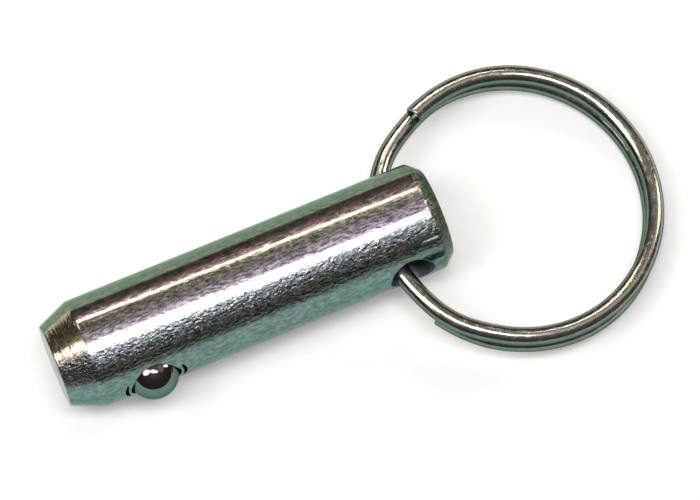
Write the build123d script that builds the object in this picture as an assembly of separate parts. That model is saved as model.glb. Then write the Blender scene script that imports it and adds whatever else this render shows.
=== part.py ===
from build123d import *
import os
from math import asin, atan2, cos, degrees, hypot, pi, radians, sin, sqrt, tan

# A spring-loaded detent pin with a split pull ring, lying on a flat surface.  Millimetres, +Z up.
# The pin's axis is X.  The origin is the centre of its flat head end, and its tip points to -X.
# The ring is threaded through a cross hole by the head and lies out to +X, its far side on the surface.

# ---- pin ----
pin_d = 9.525                # shank, 3/8 in
pin_length = 34.925          # 1-3/8 in
tip_chamfer_length = 2.8     # long lead-in
tip_face_d = 7.16
head_chamfer_length = 1.05
head_face_d = 7.7
edge_break = 0.08            # flat left on each turned corner
pin_roll = 7.0               # degrees: the ring hole lines up with the slope of the wire in it

# ---- ball, its bore and the stake marks that hold it in ----
ball_d = 4.366               # 11/64 in
ball_from_tip = 7.37
ball_stand = 1.44            # how far the ball stands out of the shank
ball_clearance = 0.03        # radial, all round the ball
bore_depth = 6.96            # straight wall, from the surface of the shank
drill_point_angle = 118.0
lip_depth = 0.15             # the lip that holds the ball is tightest this far under the surface
lip_flare = 0.15             # and opens by this much, radially, from there to the surface
stake_d = 5.3                # mean diameter of the ring-shaped staking punch
stake_nose_r = 0.16
stake_depth = 0.12

# ---- spring under the ball ----
spring_od = 3.5
spring_wire_d = 0.4
spring_wire_sides = 6        # flats that stand for its round section
spring_turns = 5.0           # the first and the last are closed
spring_clearance = 0.02      # at the ball, at the bottom of the bore and between closed coils
steps_per_turn = 4           # points that the coiled wire is led through

# ---- split ring ----
ring_od = 25.4               # 1 in
wire_d = 1.5875              # 1/16 in
wire_sides = 16              # flats that stand for its round section
coil_gap = 0.02              # between the two layers
climb_near_angle = 33.0      # where the wire leaves the upper layer, on the ball's side
climb_far_angle = 64.0       # where it has come down to the lower layer, on the other side
ring_slip = 1.9              # how far the ring has slid sideways, towards the ball's side
ring_hole_from_head = 4.05
ring_hole_clearance = 0.2    # radial, round the bowed wire
hole_deburr = 0.1
ring_sag = 0.1               # how far the wire hangs off the middle of its hole, both ways
rest_gap = 0.01              # between the ring's far side and the surface

# ---- worked out from the sizes above ----
pin_r = pin_d / 2
ball_r = ball_d / 2
bore_r = ball_r + ball_clearance
ball_y = -(pin_r + ball_stand - ball_r)
bore_end_y = -pin_r + bore_depth
drill_rise = tan(radians(90 - drill_point_angle / 2))
ball_x = -pin_length + ball_from_tip

wire_r = wire_d / 2
ring_mean_r = (ring_od - wire_d) / 2
coil_pitch = wire_d + coil_gap
# Inside the pin the wire bows by this much, from its nearest point to the far mouth of the hole.
wire_bow = ring_mean_r - sqrt(ring_mean_r**2 - (pin_r + ring_slip) ** 2)
ring_hole_r = wire_r + wire_bow / 2 + ring_hole_clearance
ring_reach = ring_mean_r - wire_bow / 2 - ring_sag
# The ring hangs from its hole and tips down until its far side meets the surface.
hang = pin_r - rest_gap - wire_r
reach_to_far_side = hypot(ring_reach + ring_mean_r, ring_sag + coil_pitch / 2)
far_side_drop = atan2(ring_sag + coil_pitch / 2, ring_reach + ring_mean_r)
ring_tilt = degrees(asin(hang / reach_to_far_side) - far_side_drop)

# The pin's own pieces are made with the ball's bore along -Y, then rolled together about X.
pin_rolled = Rot(X=-pin_roll)
# The ring is made flat about its own centre, then hung on the axis of its hole.
ring_hung = Pos(-ring_hole_from_head, 0, 0) * Rot(Y=ring_tilt) * Pos(ring_reach, -ring_slip, -ring_sag)


def bore_cutter():
    """The ball's blind bore: straight, with a drill point below. Its lip closes round the ball just
    under the surface and flares out again at the mouth."""
    drill_tip_y = bore_end_y + bore_r * drill_rise
    lip_y = -pin_r + lip_depth
    mouth_y = -pin_r - lip_depth
    lip_angle = asin((ball_y - lip_y) / bore_r)
    lip_r = bore_r * cos(lip_angle)
    lip_middle = (bore_r * cos(lip_angle / 2), ball_y - bore_r * sin(lip_angle / 2))
    outline = Curve() + [
        Polyline((0, mouth_y), (lip_r + 2 * lip_flare, mouth_y), (lip_r, lip_y)),
        ThreePointArc((lip_r, lip_y), lip_middle, (bore_r, ball_y)),
        Polyline((bore_r, ball_y), (bore_r, bore_end_y), (0, drill_tip_y), (0, mouth_y)),
    ]
    return Pos(ball_x, 0, 0) * revolve(make_face(outline), Axis.Y)


def stake_cutter():
    """A ring-shaped punch: on the round shank it marks two short arcs, ahead of and behind the ball."""
    nose = Pos(stake_d / 2, -pin_r + stake_depth - stake_nose_r, 0) * Circle(stake_nose_r)
    return Pos(ball_x, 0, 0) * revolve(nose, Axis.Y)


def ring_hole_cutter():
    """The cross hole for the ring, with its sharp mouths broken by a countersink."""
    flare_r = ring_hole_r + 2 * hole_deburr
    outer_y = pin_r + hole_deburr
    inner_y = pin_r - hole_deburr
    outline = Polyline(
        (0, -outer_y),
        (flare_r, -outer_y),
        (ring_hole_r, -inner_y),
        (ring_hole_r, inner_y),
        (flare_r, outer_y),
        (0, outer_y),
        close=True,
    )
    return Pos(-ring_hole_from_head, 0, 0) * revolve(make_face(outline), Axis.Y)


def make_pin_body():
    outline = Polyline(
        (-pin_length, 0),
        (-pin_length, tip_face_d / 2),
        (-pin_length + tip_chamfer_length, pin_r),
        (-head_chamfer_length, pin_r),
        (0, head_face_d / 2),
        (0, 0),
        close=True,
    )
    turned = revolve(make_face(outline), Axis.X)
    turned = chamfer(turned.edges().filter_by(GeomType.CIRCLE), edge_break)
    return pin_rolled * (turned - bore_cutter() - stake_cutter() - ring_hole_cutter())


def make_detent_ball():
    return pin_rolled * Pos(ball_x, ball_y, 0) * Sphere(ball_r)


def wire_through(stations, radius, sides):
    """Wire that runs smoothly through stations, each a point and the wire's direction there.
    Between two stations go two arcs that leave and arrive in the right directions and meet tangent."""
    arcs = []
    for (start, leaving), (end, arriving) in zip(stations, stations[1:]):
        span = end - start
        along = span.dot(leaving + arriving)
        turn = 2 * (1 - leaving.dot(arriving))
        arm = (sqrt(along**2 + turn * span.dot(span)) - along) / turn
        middle = (start + leaving * arm + end - arriving * arm) * 0.5
        arcs.append(TangentArc(start, middle, tangent=leaving))
        arcs.append(TangentArc(middle, end, tangent=arcs[-1] % 1))
    first_point, first_direction = stations[0]
    section = Plane(origin=first_point, z_dir=first_direction) * RegularPolygon(radius, sides)
    return sweep(section, path=Wire(arcs))


def make_ball_spring():
    """A round-wire compression spring with closed ends, between the ball and the bore's drill point."""
    wire_r = spring_wire_d / 2
    mean_r = spring_od / 2 - wire_r
    ball_end_y = ball_y + sqrt((ball_r + wire_r) ** 2 - mean_r**2) + spring_clearance
    cone = radians(drill_point_angle / 2)
    seat_y = bore_end_y + ((bore_r - mean_r) * cos(cone) - wire_r - spring_clearance) / sin(cone)
    closed_rise = spring_wire_d + spring_clearance
    open_rise = (seat_y - ball_end_y - 2 * closed_rise) / (spring_turns - 2)
    stations = []
    height = 0
    for step in range(round(spring_turns * steps_per_turn) + 1):
        turns = step / steps_per_turn
        in_first_or_last = turns < 1 or turns > spring_turns - 1
        at_change = turns in (1, spring_turns - 1)
        rise = closed_rise if in_first_or_last else open_rise
        slope = (closed_rise + open_rise) / 2 if at_change else rise
        angle = 2 * pi * turns
        point = Vector(mean_r * cos(angle), height, mean_r * sin(angle))
        direction = Vector(-2 * pi * mean_r * sin(angle), slope, 2 * pi * mean_r * cos(angle))
        stations.append((point, direction.normalized()))
        height += (closed_rise if turns < 1 or turns >= spring_turns - 1 else open_rise) / steps_per_turn
    return pin_rolled * Pos(ball_x, ball_end_y, 0) * wire_through(stations, wire_r, spring_wire_sides)


def on_layer(angle, height):
    """A point of the ring's centre line, and its direction, counted from the side next to the pin."""
    turn = radians(angle)
    point = Vector(-ring_mean_r * cos(turn), -ring_mean_r * sin(turn), height)
    return point, Vector(-sin(turn), cos(turn), 0)


def make_split_ring():
    """Spring wire wound a little under two turns: upper layer, climb through the pin, lower layer."""
    upper_half = (360 - climb_far_angle + climb_near_angle) / 2
    lower_half = (climb_near_angle - 360 - climb_far_angle) / 2
    upper_angles = (360 - climb_far_angle, upper_half, climb_near_angle)
    lower_angles = (-climb_far_angle, lower_half, climb_near_angle - 360)
    stations = [on_layer(angle, coil_pitch / 2) for angle in upper_angles]
    stations += [on_layer(angle, -coil_pitch / 2) for angle in lower_angles]
    return ring_hung * wire_through(stations, wire_r, wire_sides)


os.makedirs("parts", exist_ok=True)
nodes = {
    "pin_body": make_pin_body(),
    "detent_ball": make_detent_ball(),
    "ball_spring": make_ball_spring(),
    "split_ring": make_split_ring(),
}
for name, solid in nodes.items():
    export_step(solid, f"parts/{name}.step")
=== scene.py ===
from math import asin, atan2, cos, hypot, pi, radians, sin, sqrt, tan

import bmesh
import bpy
from mathutils import Matrix, Vector


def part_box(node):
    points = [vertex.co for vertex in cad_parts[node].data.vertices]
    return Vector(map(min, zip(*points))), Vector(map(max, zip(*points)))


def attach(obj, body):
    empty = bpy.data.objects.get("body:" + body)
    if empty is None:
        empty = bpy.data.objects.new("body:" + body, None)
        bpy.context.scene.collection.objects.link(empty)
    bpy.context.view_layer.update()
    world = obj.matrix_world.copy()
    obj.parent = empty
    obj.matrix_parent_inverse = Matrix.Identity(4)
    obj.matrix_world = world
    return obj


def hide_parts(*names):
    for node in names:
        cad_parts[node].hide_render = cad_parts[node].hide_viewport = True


# Looks for the spring-loaded detent pin and its split pull ring.
# Metres, +Z up, the pin's axis on X with its tip towards -X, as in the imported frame.

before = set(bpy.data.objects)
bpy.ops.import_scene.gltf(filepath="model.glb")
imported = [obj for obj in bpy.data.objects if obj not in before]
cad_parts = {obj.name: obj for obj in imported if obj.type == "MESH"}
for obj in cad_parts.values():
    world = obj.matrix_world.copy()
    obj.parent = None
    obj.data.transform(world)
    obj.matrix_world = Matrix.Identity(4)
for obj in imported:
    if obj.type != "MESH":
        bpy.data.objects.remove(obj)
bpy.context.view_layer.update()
MM = 0.001

# ---- the pin ----
pin_low, pin_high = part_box("pin_body")
ball_low, ball_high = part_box("detent_ball")
pin_length = pin_high[0] - pin_low[0]
pin_r = 9.525 * MM / 2
pin_roll = radians(7)
tip_chamfer_length = 2.8 * MM
tip_face_r = 3.58 * MM
head_chamfer_length = 1.05 * MM
head_face_r = 3.85 * MM
face_corner_r = 0.12 * MM
chamfer_corner_r = 0.4 * MM

ball_r = (ball_high[0] - ball_low[0]) / 2
ball_centre = Vector((low + high) / 2 for low, high in zip(ball_low, ball_high))
ball_y = -hypot(ball_centre.y, ball_centre.z)
ball_clearance = 0.03 * MM
bore_r = ball_r + ball_clearance
bore_end_y = -pin_r + 6.96 * MM
drill_tip_rise = bore_r * tan(radians(31))      # of a 118 degree drill
lip_depth = 0.15 * MM
lip_flare = 0.15 * MM
stake_mean_r = 2.65 * MM       # of the ring-shaped punch that marks the pin beside the ball
stake_nose_r = 0.16 * MM
stake_depth = 0.12 * MM

# ---- the split ring ----
ring_od = 25.4 * MM
wire_r = 1.5875 * MM / 2
coil_gap = 0.02 * MM
climb_near = radians(33)
climb_far = radians(64)
ring_slip = 1.9 * MM
ring_sag = 0.1 * MM
rest_gap = 0.01 * MM
ring_hole_x = -4.05 * MM
ring_hole_clearance = 0.2 * MM
mouth_r = 0.14 * MM            # the rounding of both mouths of the ring's hole
wire_end_r = 0.14 * MM         # and of the wire's cut ends

ring_mean_r = ring_od / 2 - wire_r
coil_pitch = 2 * wire_r + coil_gap
wire_bow = ring_mean_r - sqrt(ring_mean_r**2 - (pin_r + ring_slip) ** 2)
ring_hole_r = wire_r + wire_bow / 2 + ring_hole_clearance
ring_reach = ring_mean_r - wire_bow / 2 - ring_sag
layer_drop = ring_sag + coil_pitch / 2
ring_tilt = asin((pin_r - rest_gap - wire_r) / hypot(ring_reach + ring_mean_r, layer_drop))
ring_tilt -= atan2(layer_drop, ring_reach + ring_mean_r)

pin_rolled = Matrix.Rotation(-pin_roll, 4, "X")
ring_hung = (
    Matrix.Translation((ring_hole_x, 0, 0))
    @ Matrix.Rotation(ring_tilt, 4, "Y")
    @ Matrix.Translation((ring_reach, -ring_slip, -ring_sag))
)

# The wound wire isn't a perfect circle: angle, spread and height of each place where it bows out or in.
ring_bows = (
    (296, 45, -0.16 * MM),      # the upper end lies a little inside
    (38, 22, 0.18 * MM),        # the wire leaves its layer outside the end under it
    (-60, 20, -0.12 * MM),
    (-327, 30, -0.12 * MM),     # the lower end lies a little inside
    (-255, 40, 0.14 * MM),
)

OUTSIDE, BORE_WALL, HOLE_WALL = range(3)      # the pin's material slots
ON_AXIS = 1e-9                                # a smaller radius than this is on the axis


# ---------------------------------------------------------------- meshes

def new_object(name, mesh, *materials):
    obj = bpy.data.objects.new(name, mesh)
    bpy.context.scene.collection.objects.link(obj)
    for material in materials:
        mesh.materials.append(material)
    return obj


def fill_stops(colour_ramp, positions_and_colours):
    """Gives a new colour ramp its stops, in rising order."""
    stops = colour_ramp.elements
    stops.remove(stops[1])
    for number, (position, colour) in enumerate(positions_and_colours):
        stop = stops.new(position) if number else stops[0]
        stop.position = position
        stop.color = (*colour, 1)


def about_x(along, radius, angle):
    return Vector((along, radius * cos(angle), radius * sin(angle)))


def about_y(along, radius, angle):
    return Vector((radius * cos(angle), along, radius * sin(angle)))


def revolved(outline, place, segments, slot=OUTSIDE, closed=False):
    """A smooth mesh of revolution. Its outline is (along, radius) pairs, on the axis at both ends or
    closed. Place turns a pair and an angle into a point."""
    bm = bmesh.new()
    rows = []
    for along, radius in outline:
        count = segments if radius > ON_AXIS else 1
        angles = [2 * pi * step / segments for step in range(count)]
        rows.append([bm.verts.new(place(along, radius, angle)) for angle in angles])
    following_rows = rows[1:] + rows[:1] if closed else rows[1:]
    for row, following in zip(rows, following_rows):
        for step in range(segments):
            after = (step + 1) % segments
            corners = [row[step % len(row)], row[after % len(row)]]
            corners += [following[after % len(following)], following[step % len(following)]]
            face = bm.faces.new(dict.fromkeys(corners))
            face.smooth = True
            face.material_index = slot
    bmesh.ops.recalc_face_normals(bm, faces=bm.faces)
    mesh = bpy.data.meshes.new("revolved")
    bm.to_mesh(mesh)
    bm.free()
    return mesh


def rounded(outline, radii, steps=6):
    """The outline with each corner between its two ends turned into an arc of its own radius."""
    points = [Vector(point) for point in outline]
    result = [points[0]]
    for before, corner, after, radius in zip(points, points[1:], points[2:], radii):
        back = (before - corner).normalized()
        on = (after - corner).normalized()
        half = back.angle(on) / 2
        centre = corner + (back + on).normalized() * (radius / sin(half))
        start = corner + back * (radius / tan(half)) - centre
        end = corner + on * (radius / tan(half)) - centre
        spokes = [start.lerp(end, step / steps).normalized() for step in range(steps + 1)]
        result += [centre + spoke * radius for spoke in spokes]
    return result + [points[-1]]


def arc(centre, radius, first, last, steps):
    turns = [first + (last - first) * step / steps for step in range(steps + 1)]
    return [(centre[0] + radius * sin(turn), centre[1] + radius * cos(turn)) for turn in turns]


def cut(obj, *cutters):
    """The object's mesh with the cutters taken away. Cut faces keep the cutters' material slot."""
    for cutter in cutters:
        modifier = obj.modifiers.new("cut", "BOOLEAN")
        modifier.operation = "DIFFERENCE"
        modifier.solver = "EXACT"
        modifier.material_mode = "INDEX"
        modifier.object = cutter
    depsgraph = bpy.context.evaluated_depsgraph_get()
    mesh = bpy.data.meshes.new_from_object(obj.evaluated_get(depsgraph))
    obj.modifiers.clear()
    obj.data = mesh
    for cutter in cutters:
        bpy.data.objects.remove(cutter)


def pin_outline():
    corners = [
        (-pin_length, 0),
        (-pin_length, tip_face_r),
        (-pin_length + tip_chamfer_length, pin_r),
        (-head_chamfer_length, pin_r),
        (0, head_face_r),
        (0, 0),
    ]
    return rounded(corners, (face_corner_r, chamfer_corner_r, chamfer_corner_r, face_corner_r))


def shade_as_turned(mesh, outline):
    """Gives the turned outside the exact normals of its outline, so that long faces reflect cleanly."""
    slopes = []
    for before, after in zip(outline, outline[1:]):
        run = (after - before).normalized()
        slopes.append(((before + after) / 2, Vector((-run.y, run.x))))
    corner_normals = {}
    for index, point in enumerate(outline[1:-1], 1):
        into, out = slopes[index - 1][1], slopes[index][1]
        corner_normals[(round(point.x, 7), round(point.y, 7))] = (into + out).normalized()
    normals = []
    for polygon in mesh.polygons:
        on_end_face = abs(polygon.normal.x) > 0.999
        for loop in polygon.loop_indices:
            point = mesh.vertices[mesh.loops[loop].vertex_index].co
            radius = hypot(point.y, point.z)
            if polygon.material_index != OUTSIDE or radius < ON_AXIS:
                normals.append((0, 0, 0))
                continue
            key = (round(point.x, 7), round(radius, 7))
            along, outward = corner_normals.get(key, (0, 1))
            if on_end_face:
                along, outward = polygon.normal.x, 0
            normals.append((along, outward * point.y / radius, outward * point.z / radius))
    mesh.normals_split_custom_set(normals)


def through_wall(side_and_height, radius, angle):
    """A point of the ring's hole. Its height is counted from the shank's surface on one side."""
    side, height = side_and_height
    across = radius * sin(angle)
    return Vector((radius * cos(angle), side * (sqrt(pin_r**2 - across**2) + height), across))


def hole_outline():
    """The ring's hole with both its mouths rounded. Outside the pin the cutter goes on straight from
    the start of the rounding and closes above the shank."""
    above = 2 * mouth_r
    clear = (0.4 * mouth_r, ring_hole_r + 2.36 * mouth_r)
    rows = [(above, 0), (above, ring_hole_r + 3 * mouth_r), clear]
    for degrees_round in (75, 60, 45, 30, 15, 0):
        turn = radians(degrees_round)
        rows.append((mouth_r * (sin(turn) - 1), ring_hole_r + mouth_r * (1 - cos(turn))))
    near = [((-1, height), radius) for height, radius in rows]
    far = [((1, height), radius) for height, radius in reversed(rows)]
    return near + far


def make_pin(*materials):
    """The pin turned about X, with the ball's bore, the stake marks and the ring's hole cut into it."""
    segments = 128
    outline = pin_outline()
    pin = new_object("pin_turned", revolved(outline, about_x, 2 * segments), *materials)

    lip_y = -pin_r + lip_depth
    lip = arc((ball_y, 0), bore_r, asin((lip_y - ball_y) / bore_r), 0, 12)
    mouth = [(-pin_r - lip_depth, 0), (-pin_r - lip_depth, lip[0][1] + 2 * lip_flare)]
    bottom = [(bore_end_y, bore_r), (bore_end_y + drill_tip_rise, 0)]
    bore = revolved([*mouth, *lip, *bottom], about_y, segments, BORE_WALL)
    stake_centre = (-pin_r + stake_depth - stake_nose_r, stake_mean_r)
    stake_nose = arc(stake_centre, stake_nose_r, 0, 2 * pi, 32)[:-1]
    stake = revolved(stake_nose, about_y, segments, BORE_WALL, closed=True)
    hole = revolved(hole_outline(), through_wall, segments, HOLE_WALL)

    bore.transform(Matrix.Translation((ball_centre.x, 0, 0)))
    stake.transform(Matrix.Translation((ball_centre.x, 0, 0)))
    hole.transform(Matrix.Translation((ring_hole_x, 0, 0)))
    cut(pin, new_object("bore", bore), new_object("stake", stake), new_object("hole", hole))

    pin.data.transform(pin_rolled)
    pin.data.set_sharp_from_angle(angle=radians(32))
    shade_as_turned(pin.data, outline)
    return pin


def bow(angle, top, spread, height):
    """A smooth rise of one height at one angle, gone at a spread from it on both sides."""
    away = abs(angle - radians(top)) / radians(spread)
    return height * cos(away * pi / 2) ** 2 if away < 1 else 0


def ring_point(angle):
    """Centre line of the wire, counted from the side by the pin, and its direction there."""
    down = (climb_near - angle) / (climb_near + climb_far)
    if down <= 0:
        height, slope = 1, 0
    elif down >= 1:
        height, slope = -1, 0
    elif down < 0.5:
        height, slope = 1 - 4 * down**2, 8 * down
    else:
        height, slope = 4 * (1 - down) ** 2 - 1, 8 * (1 - down)
    rise = slope * coil_pitch / 2 / (climb_near + climb_far)
    reach = ring_mean_r + sum(bow(angle, *place_and_height) for place_and_height in ring_bows)
    point = Vector((-reach * cos(angle), -reach * sin(angle), height * coil_pitch / 2))
    run = Vector((-ring_mean_r * sin(angle), ring_mean_r * cos(angle), rise))
    return point, run.normalized()


def make_ring(material):
    """The split ring as one tube with rounded cut ends. Its finish follows the wire, so it carries
    coordinates in millimetres along and across the wire."""
    sides = 32
    stations = 480
    end_steps = 5
    first, last = 2 * pi - climb_far, climb_near - 2 * pi
    ends = []
    for step in range(end_steps + 1):
        turn = pi / 2 * step / end_steps
        back = wire_end_r * (1 - cos(turn)) / ring_mean_r
        ends.append((back, wire_r - wire_end_r * (1 - sin(turn))))
    rows = [(first - back, radius) for back, radius in ends]
    rows += [(first + (last - first) * step / stations, wire_r) for step in range(1, stations)]
    rows += [(last + back, radius) for back, radius in reversed(ends)]

    bm = bmesh.new()
    wire = bm.verts.layers.float_vector.new("wire")
    rings = []
    for angle, radius in rows:
        centre, run = ring_point(angle)
        side = run.cross((0, 0, 1)).normalized()
        up = side.cross(run)
        ring = []
        for step in range(sides):
            turn = 2 * pi * step / sides
            vert = bm.verts.new(centre + (side * cos(turn) + up * sin(turn)) * radius)
            across = (wire_r / MM * cos(turn), wire_r / MM * sin(turn))
            vert[wire] = (angle * ring_mean_r / MM, *across)
            ring.append(vert)
        rings.append(ring)
    for ring, following in zip(rings, rings[1:]):
        for step in range(sides):
            after = (step + 1) % sides
            bm.faces.new((ring[step], ring[after], following[after], following[step])).smooth = True
    bm.faces.new(rings[0])
    bm.faces.new(rings[-1])
    bmesh.ops.recalc_face_normals(bm, faces=bm.faces)
    mesh = bpy.data.meshes.new("ring_wire")
    bm.to_mesh(mesh)
    bm.free()
    mesh.transform(ring_hung)
    return new_object("ring_wire", mesh, material)


def make_ball(material):
    bm = bmesh.new()
    bmesh.ops.create_icosphere(bm, subdivisions=6, radius=ball_r)
    for face in bm.faces:
        face.smooth = True
    mesh = bpy.data.meshes.new("ball_polished")
    bm.to_mesh(mesh)
    bm.free()
    mesh.transform(Matrix.Translation(ball_centre))
    return new_object("ball_polished", mesh, material)


# ---------------------------------------------------------------- materials

class Graph:
    """A material's nodes. Inputs are numbers, colours or other nodes' outputs."""

    def __init__(self, name):
        self.material = bpy.data.materials.new(name)
        self.material.use_nodes = True
        self.tree = self.material.node_tree
        self.tree.nodes.clear()

    def node(self, kind, inputs=(), output=0, **settings):
        node = self.tree.nodes.new(kind)
        for key, value in settings.items():
            setattr(node, key, value)
        for key, value in dict(inputs).items():
            if isinstance(value, bpy.types.NodeSocket):
                self.tree.links.new(value, node.inputs[key])
            else:
                node.inputs[key].default_value = value
        return node.outputs[output]

    def math(self, operation, first, second=0.0, third=0.0, clamp=False):
        inputs = {0: first, 1: second, 2: third}
        return self.node("ShaderNodeMath", inputs, operation=operation, use_clamp=clamp)

    def product(self, first, *others):
        for other in others:
            first = self.math("MULTIPLY", first, other)
        return first

    def linear(self, value, factor, base):
        """Factor times value, plus base."""
        return self.math("MULTIPLY_ADD", value, factor, base)

    def ramp(self, value, low, high, low_out=0.0, high_out=1.0):
        """Smooth step of value from low to high."""
        inputs = {"Value": value, "From Min": low, "From Max": high}
        inputs |= {"To Min": low_out, "To Max": high_out}
        return self.node("ShaderNodeMapRange", inputs, interpolation_type="SMOOTHSTEP")

    def between(self, value, rise, fall):
        """A window with soft edges. Each edge is given from where the value is out to where it is in."""
        return self.product(self.ramp(value, *rise), self.ramp(value, *fall))

    def scaled(self, vector, scale):
        return self.node("ShaderNodeVectorMath", {0: vector, 1: scale}, operation="MULTIPLY")

    def parts(self, vector):
        node = self.tree.nodes.new("ShaderNodeSeparateXYZ")
        self.tree.links.new(vector, node.inputs[0])
        return node.outputs

    def millimetres(self):
        """The point's place in the frame."""
        return self.scaled(self.node("ShaderNodeTexCoord", output=3), (1 / MM,) * 3)

    def noise(self, vector, waves, detail=2.0, roughness=0.5):
        """Noise with so many waves to a unit, one number for all three axes or one for each."""
        stretch = waves if isinstance(waves, tuple) else (waves,) * 3
        inputs = {"Vector": self.scaled(vector, stretch), "Scale": 1.0}
        inputs |= {"Detail": detail, "Roughness": roughness}
        return self.node("ShaderNodeTexNoise", inputs)

    def mix(self, share, first, second, kind="MIX"):
        """Two colours mixed. Each is three numbers or a node's output."""
        inputs = {0: share}
        for key, colour in ((6, first), (7, second)):
            inputs[key] = colour if isinstance(colour, bpy.types.NodeSocket) else (*colour, 1)
        return self.node("ShaderNodeMix", inputs, 2, data_type="RGBA", blend_type=kind)

    def colours_round(self, angle, tints):
        """Colours once round the pin, from tints given at angles in degrees from -180 to 180."""
        node = self.tree.nodes.new("ShaderNodeValToRGB")
        self.tree.links.new(self.linear(angle, 1 / 360, 0.5), node.inputs[0])
        fill_stops(node.color_ramp, [(0.5 + turn / 360, colour) for turn, colour in tints])
        return node.outputs["Color"]

    def metal(self, colour, roughness, height, depth, edge_tint=(1, 1, 1)):
        """Ends the material as bare metal. Its bumps are so deep where the height goes from 0 to 1.
        The edge tint is the colour that grazing reflections keep."""
        normal = self.node("ShaderNodeBump", {"Height": height, "Strength": 1.0, "Distance": depth})
        inputs = {"Base Color": colour, "Metallic": 1.0, "Roughness": roughness, "Normal": normal}
        inputs["Specular Tint"] = (*edge_tint, 1)
        shader = self.node("ShaderNodeBsdfPrincipled", inputs)
        output = self.tree.nodes.new("ShaderNodeOutputMaterial")
        self.tree.links.new(shader, output.inputs["Surface"])
        return self.material


# The metal's colour round the pin: degrees from the top towards the side away from the ball, and the
# colour there. They were set until bands across the rendered shank came near the photo's.
# So they hold more than the tint of the zinc's film: they are partly painted reflections. Strong steps,
# such as the light line at 24 degrees, are painted highlights, and the dark band at -44 degrees is
# painted shade; they stand for reflections in the photo. They are fixed to the pin, and stay where they
# are from other sides and under other light.
film_and_painted_reflection_tints = (
    (-180, (0.26, 0.28, 0.265)),
    (-135, (0.23, 0.265, 0.25)),
    (-110, (0.135, 0.215, 0.19)),
    (-57, (0.145, 0.24, 0.22)),
    (-51, (0.15, 0.195, 0.175)),
    (-44, (0.105, 0.115, 0.105)),
    (-37, (0.165, 0.182, 0.182)),
    (-29, (0.205, 0.23, 0.255)),
    (-22, (0.185, 0.197, 0.212)),
    (-16, (0.37, 0.37, 0.39)),
    (-10, (0.24, 0.188, 0.243)),
    (-3, (0.42, 0.385, 0.43)),
    (3, (0.38, 0.37, 0.38)),
    (11, (0.37, 0.36, 0.29)),
    (18, (0.28, 0.225, 0.235)),
    (24, (0.92, 0.70, 0.74)),
    (33, (0.32, 0.32, 0.27)),
    (40, (0.16, 0.225, 0.145)),
    (80, (0.135, 0.185, 0.155)),
    (105, (0.23, 0.26, 0.245)),
    (180, (0.26, 0.28, 0.265)),
)


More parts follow.
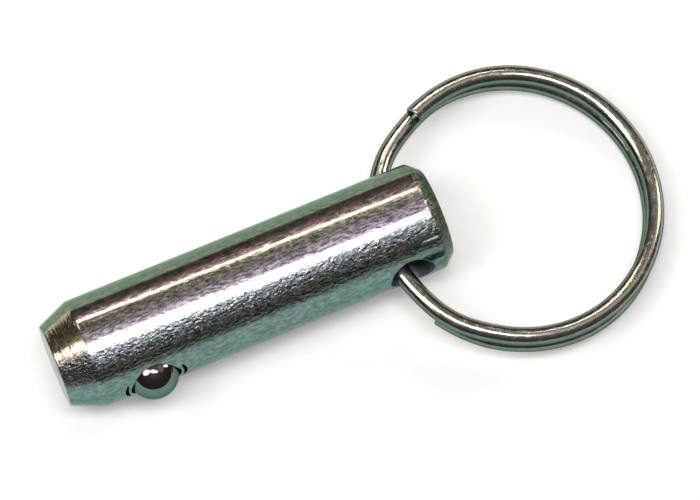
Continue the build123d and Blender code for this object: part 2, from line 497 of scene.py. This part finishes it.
def zinc_material():
    """Bright zinc on turned steel: dented by tumbling on the ball's side, smoother on the far side,
    with lathe rings on the chamfers and a nick by the ring's hole. Its stripes are the tints round the
    pin above, partly painted reflections and painted shade. The tip chamfer has painted shade and a
    painted brown reflection, the head chamfer painted shade, and its corner and the nick painted glints."""
    graph = Graph("zinc_plated_steel")
    place = graph.millimetres()
    x, y, z = graph.parts(place)
    angle = graph.math("DEGREES", graph.math("ARCTAN2", y, z))

    # Where on the pin. Lengths are in millimetres from the head, angles in degrees from the top.
    tip_face = pin_low[0] / MM
    tip_edge = (-pin_length + tip_chamfer_length) / MM
    head_edge = -head_chamfer_length / MM
    on_tip = graph.ramp(x, tip_edge + 0.1, tip_edge - 0.1)
    on_head = graph.ramp(x, head_edge - 0.1, head_edge + 0.1)
    on_chamfer = graph.math("ADD", on_tip, on_head, clamp=True)
    on_tip_face = graph.ramp(x, tip_face + 0.06, tip_face + 0.01)
    on_face = graph.math("ADD", on_tip_face, graph.ramp(x, -0.06, -0.01))
    tumbled = graph.ramp(angle, -12, -31)
    fading = graph.ramp(angle, -55, -36)
    # Painted shade: most of the tip chamfer darkened, which dims its highlight.
    painted_tip_shade = graph.product(on_tip, graph.between(angle, (-52, -44), (42, 34)), 0.7)
    # Painted reflection: the upper side of the tip chamfer lighter and brown.
    painted_tip_reflection = graph.product(on_tip, graph.between(angle, (-18, -6), (42, 34)), 0.8)
    # The head chamfer's corner in specks: roughened by bumps, and lighter in colour as painted glints.
    dented_corner_and_glints = graph.product(
        graph.between(x, (head_edge - 0.2, head_edge), (head_edge + 0.5, head_edge + 0.1)),
        graph.ramp(graph.noise(place, 2.6, 3.0, 0.7), 0.50, 0.58),
        graph.between(angle, (-40, -28), (50, 40)),
    )
    # A nick by the ring's hole: a ridge in the bump, and a light colour that is a painted glint.
    nick_and_glint = graph.product(
        graph.between(angle, (-43.0, -41.3), (-39.6, -41.3)),
        graph.between(x, (-2.9, -2.0), (head_edge, head_edge - 0.2)),
    )

    # Dents, lathe rings and the nick by the ring's hole.
    smooth = graph.ramp(angle, 3, 12, 0.55, 0.12)
    roughened = graph.linear(graph.product(tumbled, fading), 7.2, smooth)
    roughened = graph.linear(dented_corner_and_glints, 5.0, roughened)
    dents = graph.product(graph.noise(place, (2.7, 3.8, 3.8), 2.0, 0.6), roughened)
    rings = graph.noise(place, (5.0, 0.3, 0.3), 3.0, 0.65)
    rings = graph.product(rings, graph.linear(on_chamfer, 3.5, 0.08))
    height = graph.linear(nick_and_glint, 9.0, graph.math("ADD", dents, rings))

    # The stripes, their edges wandering by a few degrees, and the places of another colour: painted
    # shade, a painted reflection and painted glints on the chamfers, the head's corner and the nick, and
    # a plain tone on the end faces.
    wobble = graph.linear(graph.noise(place, 1.1, 3.0, 0.6), 9, -4.5)
    colour = graph.colours_round(graph.math("ADD", angle, wobble), film_and_painted_reflection_tints)
    for share, local_colour in (
        (painted_tip_shade, (0.09, 0.09, 0.09)),
        (painted_tip_reflection, (0.58, 0.48, 0.335)),
        # Painted shade: the whole head chamfer darker than the shank's zinc.
        (on_head, (0.10, 0.125, 0.10)),
        (dented_corner_and_glints, (0.55, 0.45, 0.34)),
        (on_face, (0.16, 0.215, 0.18)),
        (nick_and_glint, (0.75, 0.75, 0.73)),
    ):
        colour = graph.mix(share, colour, local_colour)

    # Green and pink patches, calmer along the top, and grey smudges over them.
    patches = graph.ramp(graph.noise(place, (2.5, 5.0, 5.0), 3.0, 0.7), 0.38, 0.62)
    patches = graph.mix(patches, (0.58, 1.0, 0.65), (1.36, 0.94, 1.28))
    on_top = graph.between(angle, (-36, -26), (25, 17))
    calm = graph.product(on_top, graph.ramp(angle, -2, -10, 0.42, 0.62))
    calm = graph.math("MAXIMUM", calm, graph.ramp(angle, -47, -53, 0.0, 0.3))
    patches = graph.mix(calm, patches, (1, 1, 1))
    smudges = graph.ramp(graph.noise(place, (1.6, 3.2, 3.2), 3.0, 0.65), 0.36, 0.64)
    smudges = graph.mix(smudges, (0.73, 0.74, 0.75), (1.24, 1.22, 1.21))
    for marks in (patches, smudges):
        colour = graph.mix(1.0, colour, marks, "MULTIPLY")

    # Blotches of bright and matt plating, with a fine cloud in their edges.
    contrast = graph.linear(tumbled, 1.4, graph.ramp(angle, 14, 22, 1.5, 0.9))
    blotches = graph.math("SUBTRACT", graph.noise(place, (1.8, 6.0, 6.0), 3.0, 0.65), 0.5)
    cloud = graph.noise(place, 42.0, 0.0, 0.5)
    matt = graph.ramp(graph.linear(blotches, contrast, cloud), 0.44, 0.60)
    spread = graph.product(
        graph.linear(tumbled, 0.09, graph.ramp(angle, 6, 13, 0.26, 0.14)),
        graph.linear(fading, 0.6, 0.4),
        graph.linear(on_tip, -0.45, 1.0),
    )
    roughness = graph.linear(matt, spread, 0.08)
    return graph.metal(colour, roughness, height, 0.018 * MM, (0.64, 0.75, 0.70))


def drilled_material(name, light, dark, roughness):
    """The wall of a hole: thinly plated, with rings from the drill."""
    graph = Graph(name)
    rings = graph.noise(graph.millimetres(), (0.5, 9.0, 0.5))
    colour = graph.mix(rings, dark, light)
    return graph.metal(colour, roughness, rings, 0.03 * MM, (0.2, 0.2, 0.2))


def ball_material():
    """Hard polished bearing steel, with the faintest rub marks. The brownish top is fixed to the ball
    and stands for a reflection in the photo."""
    graph = Graph("polished_ball")
    place = graph.millimetres()
    marks = graph.noise(place, (0.9, 6.0, 2.5), 3.0, 0.6)
    middle, radius = ball_centre.z / MM, ball_r / MM
    on_top = graph.ramp(graph.parts(place)[2], middle + 0.56 * radius, middle + 0.72 * radius)
    sides = graph.mix(marks, (0.10, 0.165, 0.145), (0.13, 0.19, 0.17))
    colour = graph.mix(on_top, sides, (0.20, 0.165, 0.165))
    roughness = graph.ramp(marks, 0.3, 0.8, 0.03, 0.10)
    return graph.metal(colour, roughness, marks, 0.0006 * MM, (0.36, 0.50, 0.45))


def wire_material():
    """Bright drawn spring wire, with fine lines along it and small dents. The much lighter top is
    fixed to the wire, turns with the ring and stands in part for reflections in the photo."""
    graph = Graph("ring_wire_steel")
    wire = graph.node("ShaderNodeAttribute", output=1, attribute_name="wire")
    drawn = graph.noise(wire, (0.25, 9.0, 9.0), 3.0, 0.6)
    dents = graph.noise(wire, (1.6, 2.6, 2.6), 3.0, 0.6)
    radius = wire_r / MM
    on_top = graph.ramp(graph.parts(wire)[2], 0.48 * radius, 0.86 * radius)
    tint = graph.ramp(graph.noise(wire, 0.8, 4.0, 0.6), 0.35, 0.65)
    sides = graph.mix(tint, (0.125, 0.19, 0.16), (0.17, 0.21, 0.185))
    top = graph.mix(tint, (0.42, 0.425, 0.345), (0.47, 0.44, 0.43))
    colour = graph.mix(on_top, sides, top)
    roughness = graph.linear(on_top, 0.05, graph.ramp(dents, 0.35, 0.7, 0.08, 0.24))
    height = graph.linear(drawn, 0.25, dents)
    return graph.metal(colour, roughness, height, 0.006 * MM, (0.28, 0.38, 0.34))


def spring_material():
    """Plain drawn wire."""
    graph = Graph("spring_wire_steel")
    drawn = graph.noise(graph.millimetres(), (4.0, 9.0, 4.0), 3.0, 0.6)
    colour = graph.mix(drawn, (0.34, 0.34, 0.34), (0.46, 0.46, 0.45))
    return graph.metal(colour, 0.28, drawn, 0.002 * MM)


# ---------------------------------------------------------------- the pieces

zinc = zinc_material()
# The walls of the ball's bore and the stake marks are near black: painted shade in these crevices and in
# the gap round the ball.
bore_wall_painted_shade = drilled_material("bore_wall_painted_shade", (0.03, 0.03, 0.032), (0.015, 0.015, 0.018), 0.4)
hole_wall = drilled_material("ring_hole_wall", (0.46, 0.50, 0.56), (0.20, 0.24, 0.27), 0.45)

pin = make_pin(zinc, bore_wall_painted_shade, hole_wall)
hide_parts("pin_body")
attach(pin, "pin")

ball = make_ball(ball_material())
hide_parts("detent_ball")
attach(ball, "ball")

ring = make_ring(wire_material())
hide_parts("split_ring")
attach(ring, "ring")

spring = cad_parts["ball_spring"]
spring_finish = spring_material()
for material_slot in spring.material_slots:
    material_slot.material = spring_finish


# ---------------------------------------------------------------- floor, light and camera

floor_level = -pin_r
floor_colour = (0.83, 0.84, 0.86)
floor_lift = 0.24              # how much of its white it has by itself, seen or reflected
floor_reach = 4.0


def make_floor():
    """A pale floor under the pin that keeps its shadow."""
    graph = Graph("pale_floor")
    diffuse = graph.node("ShaderNodeBsdfDiffuse", {"Color": (*floor_colour, 1)})
    rays = graph.tree.nodes.new("ShaderNodeLightPath").outputs
    seen = graph.math("MAXIMUM", rays["Is Camera Ray"], rays["Is Glossy Ray"])
    seen = graph.math("MAXIMUM", seen, rays["Is Transmission Ray"])
    lift = graph.math("MULTIPLY", seen, floor_lift)
    glow = graph.node("ShaderNodeEmission", {"Color": (1, 1, 1, 1), "Strength": lift})
    both = graph.node("ShaderNodeAddShader", {0: diffuse, 1: glow})
    output = graph.tree.nodes.new("ShaderNodeOutputMaterial")
    graph.tree.links.new(both, output.inputs["Surface"])

    mesh = bpy.data.meshes.new("floor")
    signs = ((-1, -1), (1, -1), (1, 1), (-1, 1))
    corners = [(x * floor_reach, y * floor_reach, floor_level) for x, y in signs]
    mesh.from_pydata(corners, [], [(0, 1, 2, 3)])
    floor = new_object("floor", mesh, graph.material)


# Each lamp's name and shape, where it stands in degrees from the zenith and round it, its long and
# short side, the direction of its long side, its radiance and its colour.
lamp_distance = 0.60
lamps = (
    ("overhead", "ELLIPSE", 7.4, -100, 0.36, 0.145, (1, -0.5, 0), 12.0, (1, 0.995, 1)),
    ("far_strip", "RECTANGLE", 45.5, 75, 0.44, 0.040, (0.76, -0.55, 0.35), 11.0, (1, 0.94, 0.80)),
    ("head_side", "RECTANGLE", 60, 3, 0.23, 0.10, (0.5, 0, -0.87), 7.0, (1, 0.92, 0.75)),
    ("head_side_fill", "ELLIPSE", 33, -6, 0.36, 0.30, (0, 1, 0), 0.42, (1, 0.94, 0.80)),
    ("tip_side", "ELLIPSE", 33, 175, 0.34, 0.24, (0.83, 0, 0.56), 7.0, (1, 0.95, 0.88)),
)

# The room's colour at heights from the horizon, 0, to straight up, 1.
room_colours = (
    (0.0, (0.07, 0.065, 0.055)),
    (0.35, (0.08, 0.072, 0.062)),
    (0.65, (0.12, 0.105, 0.09)),
    (0.85, (0.20, 0.18, 0.17)),
    (1.0, (0.32, 0.28, 0.30)),
)


def direction(from_zenith, towards):
    """A unit vector leaning from straight up towards a compass direction, both in degrees. 90 is +Y."""
    lean, turn = radians(from_zenith), radians(towards)
    return Vector((sin(lean) * cos(turn), sin(lean) * sin(turn), cos(lean)))


def soft_box(name, shape, from_zenith, towards, long_side, short_side, along, radiance, colour):
    """A studio lamp that faces the object. Its long side lies along the given direction."""
    area = long_side * short_side * (pi / 4 if shape == "ELLIPSE" else 1)
    light = bpy.data.lights.new(name, "AREA")
    light.shape = shape
    light.size, light.size_y = long_side, short_side
    light.energy = radiance * pi * area
    light.color = colour
    obj = bpy.data.objects.new(name, light)
    bpy.context.scene.collection.objects.link(obj)
    back = direction(from_zenith, towards)
    right = (Vector(along) - back * back.dot(Vector(along))).normalized()
    up = back.cross(right)
    turn = Matrix((right, up, back)).transposed().to_4x4()
    obj.matrix_world = Matrix.Translation(back * lamp_distance) @ turn


def make_world():
    """A dim room: grey overhead, dark brown towards the horizon and below it."""
    world = bpy.data.worlds.new("studio_room")
    bpy.context.scene.world = world
    world.use_nodes = True
    tree = world.node_tree
    tree.nodes.clear()
    place = tree.nodes.new("ShaderNodeTexCoord")
    parts = tree.nodes.new("ShaderNodeSeparateXYZ")
    tree.links.new(place.outputs["Generated"], parts.inputs[0])
    ramp = tree.nodes.new("ShaderNodeValToRGB")
    tree.links.new(parts.outputs[2], ramp.inputs[0])
    fill_stops(ramp.color_ramp, room_colours)
    background = tree.nodes.new("ShaderNodeBackground")
    tree.links.new(ramp.outputs["Color"], background.inputs["Color"])
    output = tree.nodes.new("ShaderNodeOutputWorld")
    tree.links.new(background.outputs[0], output.inputs["Surface"])


def make_camera():
    """The photo's viewpoint: high above the ball's side, a little towards the tip."""
    azimuth, elevation = radians(-23.05), radians(72.79)
    distance, focal_length = 0.450, 273.2
    target = Vector((-8.04, -0.30, 0)) * MM
    level = Vector((sin(azimuth), -cos(azimuth), 0))
    back = level * cos(elevation) + Vector((0, 0, sin(elevation)))
    camera = bpy.data.cameras.new("camera")
    camera.lens = focal_length
    camera.sensor_width = 36
    camera.clip_start = 0.01
    obj = bpy.data.objects.new("camera", camera)
    bpy.context.scene.collection.objects.link(obj)
    obj.location = target + back * distance
    obj.rotation_euler = back.to_track_quat("Z", "Y").to_euler()
    bpy.context.scene.camera = obj


make_floor()
make_world()
for lamp in lamps:
    soft_box(*lamp)
make_camera()
bpy.context.scene.view_settings.view_transform = "Standard"
